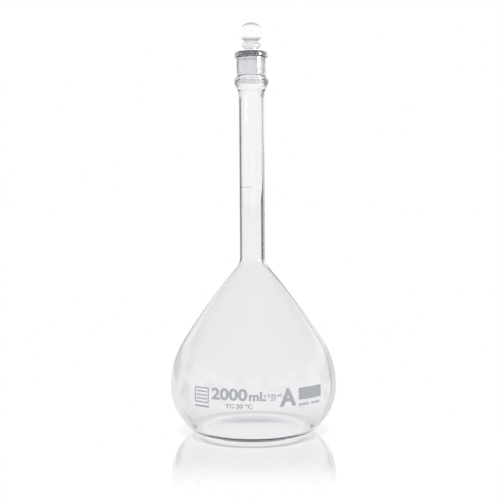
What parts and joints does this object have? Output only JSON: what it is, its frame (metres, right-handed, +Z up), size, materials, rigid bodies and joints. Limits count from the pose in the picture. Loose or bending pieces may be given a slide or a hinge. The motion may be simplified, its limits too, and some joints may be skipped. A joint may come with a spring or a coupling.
{
  "type": "volumetric flask",
  "caption": "Pear-shaped volumetric flask with a long narrow neck, a ground socket, a ball-headed glass stopper, a graduation ring and a writing patch.",
  "frame": {"origin": "centre of the flask's foot, on the surface that it stands on", "axes": "+Z up along the flask's axis, from the foot to the stopper; the printed side faces -Y, with the writing patch towards +X"},
  "size_m": [0.1636, 0.1636, 0.4002],
  "materials": {
    "flask_glass": "clear polished borosilicate, ground inside the socket",
    "stopper_glass": "clear head, ground plug",
    "enamel": "matt fired enamel"
  },
  "bodies": {
    "flask": {"flask_body": "flask_glass", "graduation_ring": "enamel", "writing_patch": "enamel"},
    "stopper": {"stopper": "stopper_glass"}
  },
  "joints": [
    {"name": "stopper_lift", "type": "slide", "parent": "flask", "child": "stopper", "axis": [0, 0, 1], "range_m": [0, 0.08]}
  ]
}
